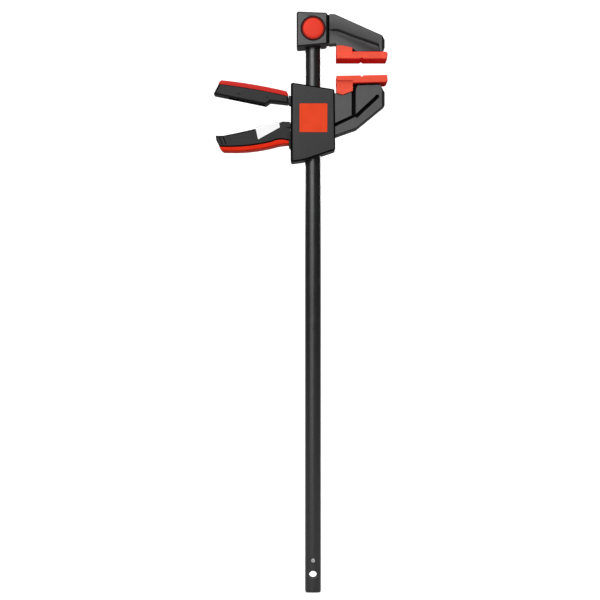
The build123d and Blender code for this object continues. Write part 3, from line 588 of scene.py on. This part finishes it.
def dress_cover(node, edge):
    """A cover with plain sides and a bevel around its face in near-black painted shade, broader down the left."""
    left_zone, broader = 1.5 * MM, 0.9 * MM
    shape = merged(node)
    front = max(abs(vert.co.y) for vert in shape.verts)
    rim = [vert for vert in shape.verts if abs(vert.co.y) > front - ON_FACE]
    left = min(vert.co.x for vert in rim)
    for vert in rim:
        if vert.co.x < left + left_zone:
            vert.co.x += broader
    cover = piece(shape, f"{node}_dressed", "housing_grey", body_of_node(node), (node,), edge)
    other_finish(cover, "housing_side", on_side)
    # the bevel around the face in near-black painted shade
    other_finish(cover, "painted_shade_black", on_bevel)


class CLAMP_OT_rail(bpy.types.Operator):
    """Coats the rail and finishes the stop pin"""

    bl_idname = "clamp.rail"
    bl_label = "Rail"

    def execute(self, context):
        shape = merged("rail")
        # the rolled edges narrow to a blunt nose
        nose_start, nose_length, blunt = 9.3, 1.7, 0.06
        for vert in shape.verts:
            reach = min(1.0, (abs(vert.co.x) / MM - nose_start) / nose_length)
            if reach > 0:
                vert.co.y *= math.sqrt(max(blunt, 1 - reach ** 2))
        piece(shape, "rail_dressed", "rail_black", "rail", ("rail",))
        dress("stop_pin", "bright_steel")
        return {"FINISHED"}


class CLAMP_OT_fixed_jaw(bpy.types.Operator):
    """Finishes the fixed jaw with its cover"""

    bl_idname = "clamp.fixed_jaw"
    bl_label = "Fixed jaw"

    def execute(self, context):
        edge = context.scene.clamp_sizes.edge
        shape = merged("fixed_jaw")
        # a broader slope under the arm's raised band
        for place in BAND_CORNERS:
            shift_corners(shape, FACE_HEIGHT, place, (-0.4, -1.2), BAND_FOOT)
            shift_corners(shape, FACE_HEIGHT, place, (0.6, 1.8), BAND_TOP)
        # a narrower groove beside the head
        shift_corners(shape, FACE_HEIGHT, (23.4, None), (-1.0, 0.0))
        jaw = piece(shape, "fixed_jaw_dressed", "jaw_grey", "rail", ("fixed_jaw",), edge)
        other_finish(jaw, "jaw_side", on_side)
        # the groove beside the head in near-black painted shade
        other_finish(jaw, "painted_shade_black", in_groove(19.0, 22.6, 9.0, 13.9))
        dress_cover("head_cover", edge)
        return {"FINISHED"}


class CLAMP_OT_pads(bpy.types.Operator):
    """Finishes the two soft pads"""

    bl_idname = "clamp.pads"
    bl_label = "Pads"

    def execute(self, context):
        for node in ("fixed_pad", "sliding_pad"):
            # the fronts keep the paler colour with the painted sheen, the sides and bevels the deeper shaded red
            other_finish(dress(node, "pad_red", 0.8 * MM, 3), "pad_shaded_side", on_side)
        return {"FINISHED"}


class CLAMP_OT_lock_button(bpy.types.Operator):
    """Makes the domed face of the button and finishes the lock behind it"""

    bl_idname = "clamp.lock_button"
    bl_label = "Lock button"

    def execute(self, context):
        dome = context.scene.clamp_sizes.dome
        shape = merged("lock_button")
        front = min(vert.co.y for vert in shape.verts)
        rim = [vert for vert in shape.verts if vert.co.y < front + ON_FACE]
        bmesh.ops.translate(shape, vec=(0, dome, 0), verts=rim)
        face = [face for face in shape.faces if all(vert in rim for vert in face.verts)]
        for width, rise in DOME_RINGS:
            bmesh.ops.inset_region(
                shape, faces=face, thickness=width * MM, depth=dome * rise, use_even_offset=True
            )
        button = piece(shape, "lock_button_domed", "button_red", "lock_button", ("lock_button",))
        # the button's bevelled ring and sides in a darker red, painted shade
        other_finish(button, "button_ring_painted_shade", on_side)
        paint("bright_steel", "lock_bridge", "lock_pin")
        base = Vector((0, -7.6 * MM, BUTTON_HEIGHT))
        coil = coil_spring("lock_coil", base, (0, -1, 0), 8.4, 13.0, 1.1, 3, "rail", "lock_spring")
        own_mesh(coil)
        return {"FINISHED"}


class CLAMP_OT_housing(bpy.types.Operator):
    """Finishes the sliding jaw's frame, covers and guides"""

    bl_idname = "clamp.housing"
    bl_label = "Housing"

    def execute(self, context):
        edge = context.scene.clamp_sizes.edge
        shape = merged("slider_body")
        # closes the gap between the arm and the pad's heel
        shift_corners(shape, SLIDE_HEIGHT, (58.0, -19.6), (-3.2, 5.8))
        arm = piece(shape, "slider_body_dressed", "jaw_grey", "slider", ("slider_body",), edge)
        other_finish(arm, "jaw_side", on_side)
        # the grooves in the arm in near-black painted shade
        other_finish(arm, "painted_shade_black", in_groove(31.2, 93.8, 8.0, 13.9))
        dress_cover("front_cover", edge)
        dress_cover("back_cover", edge)
        paint("bright_steel", "upper_guide", "lower_guide")
        return {"FINISHED"}


class CLAMP_OT_badge(bpy.types.Operator):
    """Finishes the plain inlay of the front cover"""

    bl_idname = "clamp.badge"
    bl_label = "Badge"

    def execute(self, context):
        dress("badge", "badge_orange", 0.2 * MM)
        return {"FINISHED"}


class CLAMP_OT_cover_screws(bpy.types.Operator):
    """Makes the pan heads of the cover screws, with a round dimple in each"""

    bl_idname = "clamp.cover_screws"
    bl_label = "Cover screws"

    def execute(self, context):
        profile = [(radius * MM, height * MM) for radius, height in SCREW_PROFILE]
        for number in range(1, 6):
            node = f"cover_screw_{number}"
            low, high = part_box(node)
            centre = Vector(((low.x + high.x) / 2, high.y, (low.z + high.z) / 2))
            head = lathe(profile, centre, (0, 1, 0))
            piece(head, f"screw_head_{number}", "dark_steel", "slider", (node,))
        return {"FINISHED"}


class CLAMP_OT_hand_lever(bpy.types.Operator):
    """Finishes the hand lever and sets the rivets in its sheath"""

    bl_idname = "clamp.hand_lever"
    bl_label = "Hand lever"

    def execute(self, context):
        dress("lever_core", "dark_steel", 0.25 * MM)
        shape = merged("lever_grip")
        bevel_end(shape, 2.4 * MM, 1.3 * MM)
        sheath = piece(shape, "lever_grip_dressed", "handle_grey", "lever", ("lever_grip",), 0.5 * MM)
        other_finish(sheath, "handle_side", on_side)
        # the bevels at the sheath's left end in near-black painted shade
        other_finish(
            sheath, "painted_shade_black", lambda centre, normal: on_bevel(centre, normal) and normal.x < -0.2
        )
        shape = merged("lever_insert")
        round_rim(shape, 0.8 * MM, 1, lambda normal: normal.z < -0.5)
        strip = piece(shape, "lever_insert_dressed", "strip_red", "lever", ("lever_insert",))
        # the strip's lower bevel in near-black painted shade
        other_finish(strip, "painted_shade_black", lambda centre, normal: on_bevel(centre, normal) and normal.z < -0.3)
        paint("bright_steel", "lever_pin", "drive_nose")
        radius = context.scene.clamp_sizes.rivet / 2
        sheath_half = 13.5 * MM
        profile = [
            (0.0, -0.6 * MM), (radius, -0.6 * MM), (radius, 0.12 * MM), (radius * 0.8, 0.3 * MM), (0.0, 0.38 * MM),
        ]
        for number, (x, z) in enumerate(RIVET_PLACES, 1):
            for side, word in ((-1, "front"), (1, "back")):
                centre = Vector((x * MM, side * sheath_half, SLIDE_HEIGHT + z * MM))
                head = lathe(profile, centre, (0, side, 0))
                piece(head, f"sheath_rivet_{number}_{word}", "dark_steel", "lever")
        return {"FINISHED"}


class CLAMP_OT_drive(bpy.types.Operator):
    """Finishes the drive plates and winds their springs"""

    bl_idname = "clamp.drive"
    bl_label = "Drive"

    def execute(self, context):
        paint("dark_steel", "drive_plate_1", "drive_plate_2")
        for side, word in ((-1, "left"), (1, "right")):
            base = Vector((side * 14.2 * MM, 0, SLIDE_HEIGHT - 56.5 * MM))
            coil = coil_spring(
                f"drive_coil_{word}", base, (0, 0, 1), 13.2, 5.0, 0.8, 6, "slider", f"drive_spring_{word}"
            )
            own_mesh(coil)
        return {"FINISHED"}


class CLAMP_OT_brake(bpy.types.Operator):
    """Finishes the brake plate, its spring and the release tab"""

    bl_idname = "clamp.brake"
    bl_label = "Brake and release"

    def execute(self, context):
        dress("brake_plate", "dark_steel", 0.25 * MM)
        dress("release_tab", "handle_grey", 0.3 * MM)
        base = Vector((-18.0 * MM, 0, SLIDE_HEIGHT - 78.0 * MM))
        coil = coil_spring("brake_coil", base, (0, 0, 1), 8.2, 7.4, 1.0, 4, "slider", "brake_spring")
        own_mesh(coil)
        return {"FINISHED"}


class CLAMP_OT_handle(bpy.types.Operator):
    """Finishes the handle with its soft grip and lays the bare label over it"""

    bl_idname = "clamp.handle"
    bl_label = "Handle"

    def execute(self, context):
        handle = dress("fixed_handle", "handle_grey", 0.5 * MM)
        other_finish(handle, "handle_side", on_side)
        # the handle's bevels and the ridge grooves at its end in near-black painted shade
        other_finish(handle, "painted_shade_black", on_bevel)
        other_finish(handle, "painted_shade_black", in_groove(-132.0, -116.0, 11.9, 13.0))
        shape = merged("handle_grip")
        round_rim(shape, 1.0 * MM, 1, lambda normal: normal.z > 0.5)
        round_rim(shape, 2.2 * MM, 4, lambda normal: normal.z < -0.3)
        grip = piece(shape, "handle_grip_dressed", "grip_red", "slider", ("handle_grip",))
        # the grip's upper bevel, along its seam with the handle, in near-black painted shade
        other_finish(grip, "painted_shade_black", lambda centre, normal: on_bevel(centre, normal) and normal.z > 0.3)
        self.label(context.scene.clamp_sizes.label_thickness)
        return {"FINISHED"}

    def label(self, thickness):
        """A folded paper label over the handle's top edge, laid out in millimetres."""
        front, front_share = -13.62, 0.7    # just clear of the handle, and how much hangs there
        fold_depth, fold_rise = 9.0, 2.2
        shape = bmesh.new()
        bmesh.ops.create_grid(shape, x_segments=12, y_segments=14, size=0.5)
        top_left, top_right = Vector((-78.8, -70.4)), Vector((-46.6, -62.9))
        foot_left, foot_right = Vector((-75.3, -86.4)), Vector((-45.6, -69.9))
        for vert in shape.verts:
            across = vert.co.x + 0.5
            down = vert.co.y + 0.5
            top = top_left.lerp(top_right, across)
            foot = foot_left.lerp(foot_right, across)
            if down < front_share:
                spot = foot.lerp(top, down / front_share)
                depth, rise = front, 0.0
            else:
                over = (down - front_share) / (1 - front_share)
                spot = top
                depth = front + fold_depth * over
                rise = fold_rise * math.sin(math.pi / 2 * over)
            vert.co = Vector((spot.x, depth, spot.y + rise)) * MM + Vector((0, 0, SLIDE_HEIGHT))
        bmesh.ops.recalc_face_normals(shape, faces=shape.faces)
        bmesh.ops.solidify(shape, geom=shape.faces[:], thickness=thickness)
        piece(shape, "handle_label", "label", "slider")


class CLAMP_OT_studio(bpy.types.Operator):
    """Sets up the floor, the backdrop, the lamps and the camera"""

    bl_idname = "clamp.studio"
    bl_label = "Studio"

    def execute(self, context):
        scene = context.scene
        scene.view_settings.view_transform = "Standard"
        studio = scene.clamp_studio
        self.world(scene, studio.around)
        self.floor()
        self.lamp("key", (-0.5, -2.4, 1.35), (1.8, 1.3), studio.key)
        self.lamp("back_left", (-1.3, 2.0, 1.3), (1.0, 1.0), studio.back)
        self.lamp("back_right", (1.3, 2.0, 1.3), (1.0, 1.0), studio.back)
        self.lamp("lower", (-0.62, -2.4, 0.11), (1.5, 0.22), studio.lower)
        self.lamp("top", (-0.25, -0.9, 2.3), (0.7, 0.7), studio.top)
        sensor, distance, view_width = 36.0, 1.740, 0.827
        camera = bpy.data.objects.new("camera", bpy.data.cameras.new("camera"))
        camera.data.sensor_width = sensor
        camera.data.lens = sensor * distance / view_width
        camera.location = (-0.0179, -distance, 0.3776)
        camera.rotation_euler = (math.radians(90), 0, 0)
        scene.collection.objects.link(camera)
        scene.camera = camera
        return {"FINISHED"}

    def world(self, scene, around):
        """White behind the clamp and dim in front of it to reflections, and plain white to the camera."""
        world = bpy.data.worlds.new("studio")
        world.use_nodes = True
        tree = world.node_tree
        place = tree.nodes.new("ShaderNodeTexCoord")
        parts = tree.nodes.new("ShaderNodeSeparateXYZ")
        tree.links.new(place.outputs["Generated"], parts.inputs["Vector"])
        lit = levels(tree, parts.outputs["Y"], around * 0.5, around, -0.5, 0.6)
        mirrored = levels(tree, parts.outputs["Y"], around * 0.3, 1.0, -0.1, 0.6)
        path = tree.nodes.new("ShaderNodeLightPath")
        mirrored = combine(tree, "MULTIPLY", mirrored, path.outputs["Is Glossy Ray"])
        seen = combine(tree, "MAXIMUM", path.outputs["Is Camera Ray"], path.outputs["Is Transmission Ray"])
        level = combine(tree, "MAXIMUM", combine(tree, "MAXIMUM", lit, mirrored), seen)
        tree.links.new(level, tree.nodes["Background"].inputs["Strength"])
        tree.nodes["Background"].inputs["Color"].default_value = (1, 1, 1, 1)
        scene.world = world

    def floor(self):
        """A grey floor and backdrop in one sweep, nearly white to the camera and dimmer in reflections."""
        seen_level, mirrored_level, grey = 0.97, 0.4, 0.35
        below = 0.5 * MM
        material, tree, shader = new_material("studio paper")
        shader.inputs["Base Color"].default_value = (grey, grey, grey, 1)
        shader.inputs["Roughness"].default_value = 0.9
        path = tree.nodes.new("ShaderNodeLightPath")
        seen = combine(tree, "MAXIMUM", path.outputs["Is Camera Ray"], path.outputs["Is Transmission Ray"])
        mirrored = levels(tree, path.outputs["Is Glossy Ray"], 0.0, mirrored_level, 0.0, 1.0)
        glow = levels(tree, combine(tree, "MAXIMUM", seen, mirrored), 0.0, seen_level, 0.0, 1.0)
        tree.links.new(glow, shader.inputs["Emission Strength"])
        shader.inputs["Emission Color"].default_value = (1, 1, 1, 1)
        shape = bmesh.new()
        start = [shape.verts.new((-4, -4, 0)), shape.verts.new((4, -4, 0))]
        line = [shape.edges.new(start)]
        bottom = cad_box[0].z - below
        for y, z in ((1.6, 0.0), (2.1, 0.13), (2.37, 0.5), (2.4, 1.0), (2.4, 4.0)):
            result = bmesh.ops.extrude_edge_only(shape, edges=line)
            points = [item for item in result["geom"] if isinstance(item, bmesh.types.BMVert)]
            line = [item for item in result["geom"] if isinstance(item, bmesh.types.BMEdge)]
            for point in points:
                point.co.y, point.co.z = y, z
            line = [edge for edge in line if all(vert in points for vert in edge.verts)]
        bmesh.ops.translate(shape, vec=(0, 0, bottom), verts=shape.verts)
        bmesh.ops.recalc_face_normals(shape, faces=shape.faces)
        mesh = bpy.data.meshes.new("studio_floor")
        shape.to_mesh(mesh)
        shape.free()
        for face in mesh.polygons:
            face.use_smooth = True
        mesh.materials.append(material)
        floor = bpy.data.objects.new("studio_floor", mesh)
        bpy.context.scene.collection.objects.link(floor)

    def lamp(self, name, place, size, power):
        """A rectangular lamp aimed at the clamp."""
        light = bpy.data.lights.new(name, "AREA")
        light.shape = "RECTANGLE"
        light.size, light.size_y = size
        light.energy = power
        lamp = bpy.data.objects.new(name, light)
        lamp.location = place
        aim = LAMP_AIM - Vector(place)
        lamp.rotation_euler = aim.to_track_quat("-Z", "Y").to_euler()
        bpy.context.scene.collection.objects.link(lamp)


OPERATORS = (
    CLAMP_OT_rail, CLAMP_OT_fixed_jaw, CLAMP_OT_pads, CLAMP_OT_lock_button, CLAMP_OT_housing, CLAMP_OT_badge,
    CLAMP_OT_cover_screws, CLAMP_OT_hand_lever, CLAMP_OT_drive, CLAMP_OT_brake, CLAMP_OT_handle, CLAMP_OT_studio,
)


class CLAMP_PT_panel(bpy.types.Panel):
    """Buttons for the pieces and the settings"""

    bl_idname = "CLAMP_PT_panel"
    bl_label = "Bar clamp"
    bl_space_type = "VIEW_3D"
    bl_region_type = "UI"
    bl_category = "Clamp"

    def draw(self, context):
        for operator in OPERATORS:
            self.layout.operator(operator.bl_idname)
        for group in (context.scene.clamp_colours, context.scene.clamp_sizes, context.scene.clamp_studio):
            for name in group.__annotations__:
                self.layout.prop(group, name)


CLASSES = (ClampColours, ClampSizes, ClampStudio, *OPERATORS, CLAMP_PT_panel)


def register():
    for entry in CLASSES:
        bpy.utils.register_class(entry)
    bpy.types.Scene.clamp_colours = PointerProperty(type=ClampColours)
    bpy.types.Scene.clamp_sizes = PointerProperty(type=ClampSizes)
    bpy.types.Scene.clamp_studio = PointerProperty(type=ClampStudio)


def unregister():
    del bpy.types.Scene.clamp_studio
    del bpy.types.Scene.clamp_sizes
    del bpy.types.Scene.clamp_colours
    for entry in reversed(CLASSES):
        bpy.utils.unregister_class(entry)


def main():
    register()
    bpy.ops.clamp.rail()
    bpy.ops.clamp.fixed_jaw()
    bpy.ops.clamp.pads()
    bpy.ops.clamp.lock_button()
    bpy.ops.clamp.housing()
    bpy.ops.clamp.badge()
    bpy.ops.clamp.cover_screws()
    bpy.ops.clamp.hand_lever()
    bpy.ops.clamp.drive()
    bpy.ops.clamp.brake()
    bpy.ops.clamp.handle()
    bpy.ops.clamp.studio()


if __name__ == "__main__":
    main()
